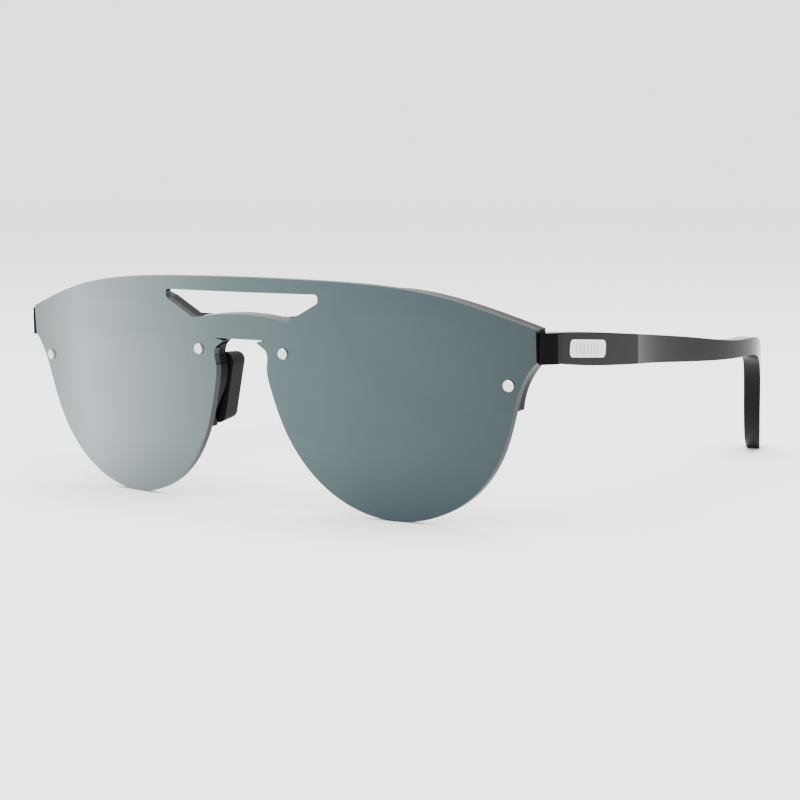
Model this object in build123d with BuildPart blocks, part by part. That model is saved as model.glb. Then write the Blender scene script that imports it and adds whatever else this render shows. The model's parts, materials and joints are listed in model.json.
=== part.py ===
"""Shield sunglasses with a one-piece lens, a half-rim carrier frame and folding temples.

Millimetres, +Z up, the lens facing -Y and the wearer's left at +X.  The glasses stand open on a flat
surface, on the two lobes of the lens and the two temple tips.  Every piece is drawn from a datum on
the front of the lens at the bridge, level with the inner rivets, and is moved at the end so that the
origin is on the surface, under the middle of the glasses.
"""

from build123d import *
from math import cos, radians, sin, sqrt
import os

# Shield lens: a spherical shell, drawn on a plane that leans forward at the top.
lens_width = 140.0
lens_radius = 320.0
lens_thickness = 1.6
lens_lean = 4.1  # degrees
brow_height = 16.0  # top edge at the bridge, above the rivets
lobe_drop = 34.9  # lowest point of a lobe, below the rivets
lens_end_top = 6.5
lens_end_bottom = -0.2
lobe_shoulder = 4.1  # how far the lobe stands in from the lens's end
end_corner = 0.9

# Keyhole over the nose, and the slot that makes the double bridge.
keyhole_half_width = 7.4
keyhole_neck = 7.05
keyhole_top = 2.6
slot_half_width = 21.2
slot_top = 12.8
slot_shoulder = 11.0
slot_foot_x = 13.1
slot_foot_y = 6.8
slot_arch = 8.05
slot_corner = 0.8

# Carrier frame behind the lens.
seat_gap = 0.05
frame_thickness = 2.3
edge_inset = 0.15  # frame's edge, inside the lens's
arm_bottom = -10.3
nose_arm_bottom = -17.9
nose_arm_inner = 17.0

# Rivets that hold the lens, each in a clear bush.
rivet_inner_x = 11.8
rivet_inner_y = 0.0
rivet_outer_inset = 5.95  # from the lens's end
rivet_outer_y = -4.8
rivet_head_radius = 1.2
rivet_head_height = 0.6
rivet_shank_radius = 0.6
rivet_tail_radius = 1.0
rivet_tail_height = 0.4
bush_radius = 0.9
fit = 0.02  # clearance all round a seated piece

# Nose pads.
pad_width = 4.6
pad_length = 16.5
pad_depth = 5.4
pad_x = 10.2
pad_y = -9.3
pad_turn = 15.0  # degrees
pad_round = 1.4
pad_gap = 0.7  # pad's flat front, behind the frame's curved back
peg_radius = 0.9
peg_length = 1.4

# Temples.
temple_height = 6.3
temple_thickness = 4.2
temple_overhang = 3.2  # outer face, past the lens's end
temple_reach = 138.0  # joint to the tip's rear
bend_share = 0.73  # of the reach, to the start of the ear hook
temple_fall = 8.9  # drop of the top edge from joint to bend
bend_height = 3.6
bend_thickness = 3.6
bend_toe_in = 5.0
tip_toe_in = 21.5
tip_height = 7.2
tip_thickness = 3.3
badge_run = 33.0  # straight outer face behind the joint
badge_run_toe_in = 0.8

# Hinge: five knuckles on one screw.
joint_gap = 0.05
hinge_in = 6.2  # pin axis, inside the temple's outer face
knuckle_radius = 1.3
knuckle_clearance = 0.15
knuckle_height = 0.94
knuckle_gap = 0.05
knuckle_count = 5
leaf_thickness = 1.0
front_leaf_width = 5.6
temple_leaf_length = 8.6
screw_radius = 0.6
screw_head_radius = 1.05
screw_head_height = 0.5
screw_slot = 0.3
running_fit = 0.03

# Core wire and badge.
wire_radius = 0.6
wire_start = 12.0  # behind the joint
wire_end = 86.0
badge_length = 15.0
badge_height = 3.6
badge_thickness = 0.5
badge_depth = 0.45
badge_start = 3.4
badge_ribs = 7

# Derived places.
lean = radians(lens_lean)
lens_plane = Plane((0, 0, 0), x_dir=(1, 0, 0), z_dir=(0, -cos(lean), -sin(lean)))
lens_half = lens_width / 2
lobe_outer = lens_half - lobe_shoulder
seat_radius = lens_radius - lens_thickness - seat_gap
back_radius = seat_radius - frame_thickness
stack = lens_thickness + seat_gap + frame_thickness
rivet_outer_x = lens_half - rivet_outer_inset
outer_face = lens_half + temple_overhang
inner_face = outer_face - temple_thickness
knuckle_pitch = knuckle_height + knuckle_gap
hinge_height = knuckle_count * knuckle_pitch - knuckle_gap


def sag(x, y=0.0):
    """Depth of the lens's front behind its foremost point."""
    return lens_radius - sqrt(lens_radius**2 - x * x - y * y)


joint_y = sag(lens_half) + stack + 0.2
temple_top = lens_end_top - 0.1
temple_foot = temple_top - temple_height
hinge_x = outer_face - hinge_in
hinge_y = joint_y + knuckle_radius + knuckle_clearance
hinge_foot = temple_foot + (temple_height - hinge_height) / 2
sphere_centre = lens_plane.from_local_coords(Vector(0, 0, -lens_radius))


def across(share):
    """A place across a lobe, from the keyhole's neck to the lobe's outer edge."""
    return keyhole_neck + share * (lobe_outer - keyhole_neck)


def brow_points(inset=0.0):
    """The lens's top edge, from the bridge to the end."""
    fall = brow_height - lens_end_top
    shape = ((0.0, 0.0), (0.29, 0.03), (0.51, 0.115), (0.69, 0.30), (0.86, 0.64), (1.0, 1.0))
    return [(share * lens_half, brow_height - down * fall - inset) for share, down in shape]


def keyhole_points(inset=0.0):
    """The keyhole's edge, from its top to its neck."""
    return [
        (0, keyhole_top + inset),
        (0.65 * keyhole_half_width + 0.5 * inset, 0.8 * keyhole_top + inset),
        (0.93 * keyhole_half_width + inset, 0.2 * keyhole_top),
        (keyhole_half_width + inset, -1.4),
        (keyhole_neck + 0.1 + inset, -3.0),
    ]


def nose_points(inset=0.0):
    """The lens's edge beside the nose, from the neck downwards."""
    shape = ((0.0144, 0.235), (0.064, 0.481))
    return [(across(share) + inset, -down * lobe_drop) for share, down in shape]


def shell(outer_radius, inner_radius):
    """A solid between two spheres about the lens's centre."""
    with BuildPart(Location(sphere_centre)) as ball:
        Sphere(outer_radius)
        Sphere(inner_radius, mode=Mode.SUBTRACT)
    return ball.part


def lens_face():
    """The lens's outline with its slot."""
    with BuildSketch(lens_plane) as face:
        with BuildLine():
            Spline(*brow_points(), tangents=[(1, 0), (1, -0.36)])
            Line((lens_half, lens_end_top), (lens_half, lens_end_bottom))
            lobe_shape = (
                (0.976, 0.33),
                (0.919, 0.585),
                (0.813, 0.811),
                (0.674, 0.948),
                (0.511, 1.0),
                (0.338, 0.943),
                (0.177, 0.762),
            )
            lobe = [(lens_half, lens_end_bottom), (lens_half - 0.68 * lobe_shoulder, lens_end_bottom - 3.6)]
            lobe += [(across(share), -down * lobe_drop) for share, down in lobe_shape]
            lobe += nose_points()[::-1]
            lobe += keyhole_points()[::-1]
            Spline(*lobe, tangents=[(-1, -0.9), (-1, 0)])
            mirror(about=Plane.YZ)
        make_face()
        with BuildSketch(mode=Mode.SUBTRACT) as slot:
            with BuildLine():
                Polyline((0, slot_top), (slot_half_width, slot_top), (slot_half_width, slot_shoulder))
                Line((slot_half_width, slot_shoulder), (slot_foot_x, slot_foot_y))
                Spline((slot_foot_x, slot_foot_y), (0.4 * slot_foot_x, slot_arch - 0.25), (0, slot_arch))
                mirror(about=Plane.YZ)
            make_face()
            fillet(slot.vertices().filter_by(lambda v: abs(v.X) > 1), slot_corner)
    return face.sketch


def rivet_places():
    """Each rivet's side, its two places on the lens and its name."""
    return [
        ("left_inner", rivet_inner_x, rivet_inner_y),
        ("right_inner", -rivet_inner_x, rivet_inner_y),
        ("left_outer", rivet_outer_x, rivet_outer_y),
        ("right_outer", -rivet_outer_x, rivet_outer_y),
    ]


def rivet_plane(x, y):
    """The plane that touches the lens's front at a rivet, facing out."""
    point = lens_plane.from_local_coords(Vector(x, y, -sag(x, y)))
    return Plane(point, x_dir=(1, 0, 0.001), z_dir=point - sphere_centre)


def rivet_hole(x, y, radius):
    """A drill through the lens and frame at a rivet."""
    with BuildPart(rivet_plane(x, y)) as drill:
        Cylinder(radius, 4 * stack)
    return drill.part


def make_lens():
    """The shield lens, with a hole for each bush."""
    with BuildPart() as lens:
        extrude(lens_face(), amount=20, dir=lens_plane.z_dir, both=True)
        add(shell(lens_radius, lens_radius - lens_thickness), mode=Mode.INTERSECT)
        for _, x, y in rivet_places():
            add(rivet_hole(x, y, bush_radius + fit), mode=Mode.SUBTRACT)
    return lens.part


def rim_face():
    """One half of the carrier: bridge, rim, outer arm and nose arm."""
    with BuildSketch(lens_plane) as face:
        with BuildLine():
            Spline((0, slot_arch), (0.4 * slot_foot_x, slot_arch - 0.25), (slot_foot_x, slot_foot_y))
            Line((slot_foot_x, slot_foot_y), (slot_half_width, slot_shoulder))
            brow = brow_points(edge_inset)
            rise = [(slot_half_width, slot_shoulder), (0.41 * lens_half, slot_top + 0.3)]
            rise += [(0.56 * lens_half, brow[2][1] - 0.6), brow[3], brow[4]]
            end_x = lens_half - edge_inset
            Spline(*rise, (end_x, brow[5][1]))
            Line((end_x, brow[5][1]), (end_x, lens_end_bottom))
            side = lobe_outer - edge_inset
            Spline((end_x, lens_end_bottom), (side + 1.2, -3.9), (side - 0.9, arm_bottom))
            Line((side - 0.9, arm_bottom), (60.0, arm_bottom))
            eye = [(60.0, arm_bottom), (61.0, -5.0), (59.1, 2.5), (54.6, 6.4), (46.6, 8.9), (35.9, 9.3)]
            eye += [(27.4, 8.2), (19.7, 3.7), (nose_arm_inner, -0.3)]
            Spline(*eye)
            inner = [(nose_arm_inner, -0.3), (nose_arm_inner - 0.1, -8.5), (nose_arm_inner - 0.6, -15.0)]
            Spline(*inner)
            Line(inner[-1], (nose_arm_inner - 1.6, nose_arm_bottom))
            foot = (across(0.08) + edge_inset, nose_arm_bottom)
            Line((nose_arm_inner - 1.6, nose_arm_bottom), foot)
            Spline(foot, *nose_points(edge_inset)[::-1][1:], *keyhole_points(edge_inset)[::-1])
            Line((0, keyhole_top + edge_inset), (0, slot_arch))
        make_face()
        mirror(about=Plane.YZ)
    return face.sketch


def end_piece():
    """The left end of the carrier, wrapped round the lens's end to the temple joint."""
    front_y = sag(lens_half) + 0.4
    with BuildPart() as end:
        with BuildSketch(Plane.XY.offset(temple_foot)):
            with BuildLine():
                Polyline(
                    (lens_half - 7.5, joint_y),
                    (outer_face, joint_y),
                    (outer_face, joint_y - 1.3),
                    (lens_half + 1.4, front_y),
                    (lens_half - 7.5, front_y),
                    close=True,
                )
            make_face()
        extrude(amount=temple_height)
        with Locations((0, 0, 0)):
            with BuildPart(mode=Mode.SUBTRACT):
                Box(lens_width + 0.2, 60, 60)
                add(shell(seat_radius, 1), mode=Mode.SUBTRACT)
    return end.part


def front_slot_bands():
    """Heights of the knuckles of the front leaf and of the temple leaf."""
    feet = [hinge_foot + i * knuckle_pitch for i in range(knuckle_count)]
    return feet[0::2], feet[1::2]


def barrel(feet, radius, grow=0.0):
    """A stack of knuckles about the pin axis."""
    with BuildPart() as stack_of:
        for foot in feet:
            with BuildSketch(Plane.XY.offset(foot - grow)):
                with Locations((hinge_x, hinge_y)):
                    Circle(radius)
            extrude(amount=knuckle_height + 2 * grow)
    return stack_of.part


def pin_drill():
    """A drill along the pin axis."""
    with BuildPart(Location((hinge_x, hinge_y, hinge_foot))) as drill:
        Cylinder(screw_radius + running_fit, 4 * hinge_height)
    return drill.part


def block(low, high, mode=Mode.ADD):
    """A box between two corners."""
    low, high = Vector(*low), Vector(*high)
    size = high - low
    with Locations((low + high) / 2):
        Box(size.X, size.Y, size.Z, mode=mode)


def leaf(own_feet, other_feet, low, high):
    """A hinge leaf: plate, knuckles, and room for the other leaf's knuckles."""
    with BuildPart() as plate:
        block((*low, hinge_foot), (*high, hinge_foot + hinge_height))
        add(barrel(other_feet, knuckle_radius + knuckle_clearance, knuckle_gap), mode=Mode.SUBTRACT)
        add(barrel(own_feet, knuckle_radius))
        add(pin_drill(), mode=Mode.SUBTRACT)
    return plate.part


def hinge_screw():
    """The screw that joins the leaves, with a slotted head."""
    top = hinge_foot + hinge_height
    with BuildPart() as screw:
        with BuildSketch(Plane.XY.offset(hinge_foot)):
            with Locations((hinge_x, hinge_y)):
                Circle(screw_radius)
        extrude(amount=hinge_height + fit)
        with BuildSketch(Plane.XY.offset(top + fit)):
            with Locations((hinge_x, hinge_y)):
                Circle(screw_head_radius)
        extrude(amount=screw_head_height)
        slot_foot = top + fit + 0.5 * screw_head_height
        reach = 2 * screw_head_radius
        low = (hinge_x - reach, hinge_y - screw_slot / 2, slot_foot)
        block(low, (hinge_x + reach, hinge_y + screw_slot / 2, slot_foot + 1), mode=Mode.SUBTRACT)
    return screw.part


bend_y = joint_y + bend_share * temple_reach
tip_y = joint_y + temple_reach
bend_top = temple_top - temple_fall


def temple_side(floor):
    """The temple seen from the side, as a sketch on the Y-Z plane."""
    drop = bend_top - floor
    run = tip_y - bend_y
    front = joint_y + joint_gap
    with BuildSketch(Plane.YZ) as side:
        with BuildLine():
            top = [(front, temple_top), (front + 39, temple_top - 0.37 * temple_fall)]
            top += [(front + 65, temple_top - 0.67 * temple_fall), (bend_y - 12, bend_top + 0.8)]
            top += [(bend_y + 0.13 * run, bend_top - 0.9), (bend_y + 0.55 * run, bend_top - 0.42 * drop)]
            tip_high = (tip_y, floor + 5.9)
            Spline(*top, tip_high)
            tip_low = (tip_y - 6.2, floor + 0.87)
            ThreePointArc(tip_high, (tip_y - 2.2, floor + 0.29), tip_low)
            low = [tip_low, (bend_y + 0.44 * run, floor + 0.42 * drop), (bend_y + 2.0, bend_top - bend_height - 1.3)]
            low += [(bend_y - 12, bend_top - bend_height + 0.3), (front + 39, temple_foot - 3.2)]
            low += [(front, temple_foot)]
            Spline(*low)
            Line((front, temple_foot), (front, temple_top))
        make_face()
    return side.sketch


def temple_plan():
    """The temple seen from above."""
    front = joint_y + joint_gap
    straight = (outer_face - badge_run_toe_in, front + badge_run)
    bend = (outer_face - bend_toe_in, bend_y)
    tip = (outer_face - tip_toe_in, tip_y + 1)
    inner_bend = (bend[0] - bend_thickness, bend_y - 2)
    with BuildSketch() as plan:
        with BuildLine():
            Line((outer_face, front), straight)
            outer = [straight, (outer_face - 0.5 * bend_toe_in, front + 68), bend, (bend[0] - 6, bend_y + 15), tip]
            Spline(*outer)
            Line(tip, (tip[0] - tip_thickness, tip[1]))
            inner = [(tip[0] - tip_thickness, tip[1]), (bend[0] - 6 - bend_thickness, bend_y + 13), inner_bend]
            inner += [(outer_face - 0.5 * bend_toe_in - temple_thickness + 0.3, front + 66)]
            inner += [(inner_face - badge_run_toe_in, front + badge_run), (inner_face, front + 12)]
            Spline(*inner)
            Line((inner_face, front + 12), (inner_face, front))
            Line((inner_face, front), (outer_face, front))
        make_face()
    return plan.sketch


badge_lean = badge_run_toe_in / badge_run
badge_y = joint_y + joint_gap + badge_start + badge_length / 2
badge_z = (temple_top + temple_foot) / 2 - 0.085 * (badge_y - joint_y)
badge_x = outer_face - badge_lean * (badge_y - joint_y)
badge_plane = Plane((badge_x, badge_y, badge_z), x_dir=(-badge_lean, 1, -0.083), z_dir=(1, badge_lean, 0))


def badge_blank(grow, low, high):
    """The badge's rounded outline, from one depth to another below the temple's face."""
    with BuildPart() as blank:
        with BuildSketch(badge_plane.offset(-low)):
            RectangleRounded(badge_length + 2 * grow, badge_height + 2 * grow, badge_height / 3)
        extrude(amount=low - high)
    return blank.part


def make_badge():
    """A plain badge with raised ribs."""
    with BuildPart() as badge:
        add(badge_blank(0, badge_depth, badge_depth - badge_thickness))
        with BuildSketch(badge_plane.offset(badge_thickness - badge_depth - 0.01)):
            with GridLocations(badge_length / (badge_ribs + 3), 0, badge_ribs, 1):
                Rectangle(0.5, 0.6 * badge_height)
        extrude(amount=0.16)
    return badge.part


def wire(radius, extra=0.0):
    """The core wire, straight down the middle of the temple."""
    start = Vector(inner_face + 1.9, joint_y + wire_start - extra, temple_foot + 2.3)
    end = Vector(outer_face - bend_toe_in + 0.4 - bend_thickness / 2, joint_y + wire_end + extra, -3.6)
    with BuildPart(Plane(start, z_dir=end - start)) as rod:
        Cylinder(radius, (end - start).length, align=(Align.CENTER, Align.CENTER, Align.MIN))
    return rod.part


def make_temple(floor):
    """The left temple, with its badge recess and its wire bore."""
    with BuildPart() as temple:
        extrude(temple_side(floor), amount=100, dir=(1, 0, 0))
        extrude(temple_plan(), amount=100, dir=(0, 0, 1), both=True, mode=Mode.INTERSECT)
        add(badge_blank(fit, badge_depth + fit, -2), mode=Mode.SUBTRACT)
        add(wire(wire_radius + fit, 0.05), mode=Mode.SUBTRACT)
    return temple.part


def pad_sketch(grow=0.0):
    """The pad's rounded outline on the lens's plane."""
    with Locations((pad_x, pad_y)):
        RectangleRounded(pad_width, pad_length, pad_width / 2 - 0.05, rotation=pad_turn)


def peg(radius, depth):
    """The round peg that holds a pad in the frame."""
    back = sag(pad_x, pad_y) + stack
    with BuildPart() as post:
        with BuildSketch(lens_plane.offset(-back - pad_gap)):
            with Locations((pad_x + 0.6, pad_y + 1)):
                Circle(radius)
        extrude(amount=depth + pad_gap)
    return post.part


def make_pad():
    """The left nose pad, with its peg."""
    back = sag(pad_x, pad_y) + stack
    with BuildPart() as pad:
        with BuildSketch(lens_plane.offset(-back - pad_gap)):
            pad_sketch()
        extrude(amount=-pad_depth, taper=6)
        fillet(pad.faces().sort_by(Axis.Y)[-1].edges(), pad_round)
        add(peg(peg_radius, peg_length))
    return pad.part


def make_rivet(x, y):
    """A rivet: low head, shank and tail."""
    with BuildPart() as rivet:
        with BuildSketch(rivet_plane(x, y).offset(fit)):
            Circle(rivet_head_radius)
        extrude(amount=rivet_head_height)
        chamfer(rivet.edges().filter_by(GeomType.CIRCLE).sort_by(Axis.Y)[0], 0.22)
        with BuildSketch(rivet_plane(x, y).offset(fit)):
            Circle(rivet_shank_radius)
        extrude(amount=-stack - 2 * fit)
        with BuildSketch(rivet_plane(x, y).offset(-stack - fit)):
            Circle(rivet_tail_radius)
        extrude(amount=-rivet_tail_height)
    return rivet.part


def make_bush(x, y):
    """The clear sleeve between a rivet and the lens."""
    with BuildPart() as bush:
        with BuildSketch(rivet_plane(x, y)):
            Circle(bush_radius)
            Circle(rivet_shank_radius + fit, mode=Mode.SUBTRACT)
        extrude(amount=-lens_thickness)
    return bush.part


def make_frame():
    """The carrier frame, with its rivet holes and peg sockets."""
    with BuildPart() as frame:
        extrude(rim_face(), amount=20, dir=lens_plane.z_dir, both=True)
        add(shell(seat_radius, back_radius), mode=Mode.INTERSECT)
        end = end_piece()
        add(end)
        add(end.mirror(Plane.YZ))
        socket = peg(peg_radius + fit, peg_length + 0.05)
        add(socket, mode=Mode.SUBTRACT)
        add(socket.mirror(Plane.YZ), mode=Mode.SUBTRACT)
        for _, x, y in rivet_places():
            add(rivet_hole(x, y, rivet_shank_radius + fit), mode=Mode.SUBTRACT)
    return frame.part


pieces = {"shield_lens": make_lens(), "front_frame": make_frame()}
print("lens and frame")
for place, x, y in rivet_places():
    pieces[place + "_rivet"] = make_rivet(x, y)
    pieces[place + "_bush"] = make_bush(x, y)
front_feet, temple_feet = front_slot_bands()
front_low = (hinge_x - front_leaf_width, joint_y + fit)
front_high = (hinge_x, joint_y + leaf_thickness)
temple_low = (inner_face - fit - leaf_thickness, hinge_y - 0.2)
temple_high = (inner_face - fit, hinge_y + temple_leaf_length)
floor = pieces["shield_lens"].bounding_box().min.Z
paired = {
    "nose_pad": make_pad(),
    "front_hinge_leaf": leaf(front_feet, temple_feet, front_low, front_high),
    "temple_hinge_leaf": leaf(temple_feet, front_feet, temple_low, temple_high),
    "hinge_screw": hinge_screw(),
    "temple": make_temple(floor),
    "core_wire": wire(wire_radius),
    "badge_plate": make_badge(),
}
for name, piece in paired.items():
    pieces["left_" + name] = piece
    pieces["right_" + name] = piece.mirror(Plane.YZ)

whole = Compound(list(pieces.values())).bounding_box()
rest = Vector(0, -(whole.min.Y + whole.max.Y) / 2, -floor)
print("moved by", rest, "size", whole.size, "hinge", Vector(hinge_x, hinge_y, hinge_foot) + rest)
os.makedirs("parts", exist_ok=True)
for name, piece in pieces.items():
    with BuildPart() as placed:
        add(piece.moved(Location(rest)))
    placed.part.label = name
    export_step(placed.part, "parts/" + name + ".step")
    print(name, len(placed.part.solids()), round(placed.part.volume, 2), placed.part.bounding_box())
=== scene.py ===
import json
from math import radians

import bpy
from mathutils import Euler, Matrix, Vector


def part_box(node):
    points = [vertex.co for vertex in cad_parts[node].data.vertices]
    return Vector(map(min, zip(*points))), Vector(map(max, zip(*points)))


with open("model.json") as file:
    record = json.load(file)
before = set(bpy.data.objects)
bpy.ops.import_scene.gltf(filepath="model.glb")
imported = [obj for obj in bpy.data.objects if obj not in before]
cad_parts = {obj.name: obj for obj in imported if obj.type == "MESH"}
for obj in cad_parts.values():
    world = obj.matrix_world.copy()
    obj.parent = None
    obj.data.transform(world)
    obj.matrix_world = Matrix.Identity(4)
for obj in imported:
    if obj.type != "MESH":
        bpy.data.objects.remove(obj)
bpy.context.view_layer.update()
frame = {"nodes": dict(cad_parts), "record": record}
nodes = frame["nodes"]
mm = 0.001


def linear(hexColour):
    parts = [int(hexColour[i:i + 2], 16) / 255 for i in (1, 3, 5)]
    curve = [p / 12.92 if p <= 0.04045 else ((p + 0.055) / 1.055) ** 2.4 for p in parts]
    return (*curve, 1.0)


def node(tree, kind, **settings):
    made = tree.nodes.new(kind)
    for name, value in settings.items():
        if hasattr(made, name):
            setattr(made, name, value)
        else:
            made.inputs[name.replace("_", " ")].default_value = value
    return made


def material(name, colour, roughness, metallic=0.0, **extra):
    made = bpy.data.materials.new(name)
    made.use_nodes = True
    shader = made.node_tree.nodes["Principled BSDF"]
    shader.inputs["Base Color"].default_value = linear(colour)
    shader.inputs["Roughness"].default_value = roughness
    shader.inputs["Metallic"].default_value = metallic
    for socket, value in extra.items():
        shader.inputs[socket.replace("_", " ")].default_value = value
    return made, made.node_tree, shader


def grain(tree, shader, size, low, high, bump, stretch=(1, 1, 1)):
    # noise in object space: its grain varies the roughness and lifts the surface a little
    place = node(tree, "ShaderNodeTexCoord")
    scaled = node(tree, "ShaderNodeMapping")
    scaled.inputs["Scale"].default_value = stretch
    noise = node(tree, "ShaderNodeTexNoise", Scale=1 / size, Detail=4.0, Roughness=0.6)
    spread = node(tree, "ShaderNodeMapRange", To_Min=low, To_Max=high)
    lift = node(tree, "ShaderNodeBump", Strength=bump, Distance=0.02 * mm)
    tree.links.new(place.outputs["Object"], scaled.inputs["Vector"])
    tree.links.new(scaled.outputs["Vector"], noise.inputs["Vector"])
    tree.links.new(noise.outputs["Fac"], spread.inputs["Value"])
    tree.links.new(spread.outputs["Result"], shader.inputs["Roughness"])
    tree.links.new(noise.outputs["Fac"], lift.inputs["Height"])
    tree.links.new(lift.outputs["Normal"], shader.inputs["Normal"])
    return place


def mirrorLens():
    # mirror-coated polycarbonate with a teal tint; the cool silver that darkens to teal at the wearer's
    # left is painted reflection laid over that tint
    made, tree, shader = material("mirror_coated_polycarbonate", "#7D8C8C", 0.08, 0.5, Transmission_Weight=0.45, IOR=1.58)
    place = grain(tree, shader, 9 * mm, 0.05, 0.11, 0.05)
    apart = node(tree, "ShaderNodeSeparateXYZ")
    low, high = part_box("shield_lens")
    across = node(tree, "ShaderNodeMapRange", From_Min=low.x, From_Max=high.x)
    ramp = node(tree, "ShaderNodeValToRGB")
    # colour across the lens: the teal hue is the coating's tint, the pale band near 0.13 and the
    # light-to-dark change across are painted reflection
    tintAndPaintedReflection = (
        (0.0, "#5A6567"),
        (0.13, "#848E92"),
        (0.3, "#657173"),
        (0.47, "#465557"),
        (0.7, "#2F4346"),
        (1.0, "#1A2B2E"),
    )
    while len(ramp.color_ramp.elements) < len(tintAndPaintedReflection):
        ramp.color_ramp.elements.new(0.5)
    for element, (at, colour) in zip(ramp.color_ramp.elements, tintAndPaintedReflection):
        element.position = at
        element.color = linear(colour)
    tree.links.new(place.outputs["Object"], apart.inputs["Vector"])
    tree.links.new(apart.outputs["X"], across.inputs["Value"])
    tree.links.new(across.outputs["Result"], ramp.inputs["Fac"])
    facing = node(tree, "ShaderNodeNewGeometry")
    split = node(tree, "ShaderNodeSeparateXYZ")
    turned = node(tree, "ShaderNodeMath", operation="ABSOLUTE")
    edge = node(tree, "ShaderNodeMath", operation="LESS_THAN")
    edge.inputs[1].default_value = 0.7  # faces turned this far from the front are the cut edge
    cut = node(tree, "ShaderNodeMix", data_type="RGBA")  # a colour mix's sockets: 0 factor, 6 and 7 colours
    cut.inputs[7].default_value = linear("#1B2324")
    dulled = node(tree, "ShaderNodeMapRange", To_Min=0.5, To_Max=0.0)
    tree.links.new(edge.outputs[0], dulled.inputs["Value"])
    tree.links.new(dulled.outputs["Result"], shader.inputs["Metallic"])
    tree.links.new(dulled.outputs["Result"], shader.inputs["Specular IOR Level"])
    tree.links.new(facing.outputs["True Normal"], split.inputs["Vector"])
    tree.links.new(split.outputs["Y"], turned.inputs[0])
    tree.links.new(turned.outputs[0], edge.inputs[0])
    tree.links.new(edge.outputs[0], cut.inputs[0])
    tree.links.new(ramp.outputs["Color"], cut.inputs[6])
    tree.links.new(cut.outputs[2], shader.inputs["Base Color"])
    return made


def glossNylon():
    # injection-moulded nylon, polished: deep black with a soft-edged highlight
    made, tree, shader = material("gloss_black_nylon", "#020203", 0.18, Specular_IOR_Level=0.05)
    grain(tree, shader, 1.5 * mm, 0.1, 0.2, 0.06)
    return made


def mattRubber():
    # moulded thermoplastic rubber: soft dark grey-black with a fine pebbled skin
    made, tree, shader = material("moulded_rubber", "#070707", 0.7, Specular_IOR_Level=0.15)
    grain(tree, shader, 0.25 * mm, 0.6, 0.82, 0.5)
    return made


def satinSteel():
    # turned stainless steel: bright with fine tool marks
    made, tree, shader = material("turned_stainless_steel", "#C9CACB", 0.25, 1.0)
    grain(tree, shader, 0.12 * mm, 0.18, 0.34, 0.15)
    return made


def brushedPlate():
    # brushed stainless plate: long fine lines along the temple
    made, tree, shader = material("brushed_stainless_steel", "#D2D3D4", 0.28, 1.0)
    grain(tree, shader, 0.15 * mm, 0.2, 0.4, 0.3, (1, 0.04, 1))
    return made


def clearPolymer():
    # clear moulded polymer: a colourless sleeve seen only at its rim
    made, tree, shader = material("clear_polymer", "#E6EAEA", 0.1, Transmission_Weight=0.8)
    grain(tree, shader, 0.4 * mm, 0.06, 0.14, 0.05)
    return made


looks = {
    "lens": mirrorLens(),
    "frame": glossNylon(),
    "pad": mattRubber(),
    "steel": satinSteel(),
    "badge": brushedPlate(),
    "clear": clearPolymer(),
}
for part in frame["record"]["subparts"]:
    mesh = nodes[part["node"]].data
    mesh.materials.clear()
    mesh.materials.append(looks[part["material_slot"]])
print("materials done")

floorMesh = bpy.data.meshes.new("floor")
reach = 3.0  # half the floor's side
corners = [(-reach, -reach, 0), (reach, -reach, 0), (reach, reach, 0), (-reach, reach, 0)]
floorMesh.from_pydata(corners, [], [(0, 1, 2, 3)])
floor = bpy.data.objects.new("floor", floorMesh)
bpy.context.collection.objects.link(floor)
paper, _, _ = material("studio_paper", "#FCFCFC", 0.9)  # plain pale paper sweep
floorMesh.materials.append(paper)

world = bpy.data.worlds.new("studio")
bpy.context.scene.world = world
world.use_nodes = True
world.node_tree.nodes["Background"].inputs["Color"].default_value = linear("#FAFAFA")
world.node_tree.nodes["Background"].inputs["Strength"].default_value = 2.4


def softbox(name, place, target, size, power):
    light = bpy.data.lights.new(name, "AREA")
    light.size = size
    light.energy = power
    lamp = bpy.data.objects.new(name, light)
    lamp.location = place
    lamp.rotation_euler = (Vector(target) - Vector(place)).to_track_quat("-Z", "Y").to_euler()
    bpy.context.collection.objects.link(lamp)


softbox("overhead", (0.0, -0.1, 0.8), (0, 0, 0), 0.9, 12.0)
softbox("key", (0.7, -0.3, 0.45), (0, 0, 0.02), 0.4, 2.0)

camera = bpy.data.objects.new("camera", bpy.data.cameras.new("camera"))
camera.data.lens = 87.0
camera.data.clip_start = 0.01
bpy.context.collection.objects.link(camera)
azimuth, elevation, roll = radians(35.59), radians(6.76), radians(-0.36)
turn = Euler((radians(90) - elevation, 0, azimuth)).to_matrix() @ Matrix.Rotation(roll, 3, "Z")
aim = Vector((27.8, -54.5, 23.7)) * mm
distance = 417.7 * mm
camera.matrix_world = Matrix.Translation(aim + turn @ Vector((0, 0, distance))) @ turn.to_4x4()
bpy.context.scene.camera = camera
print("stage done")
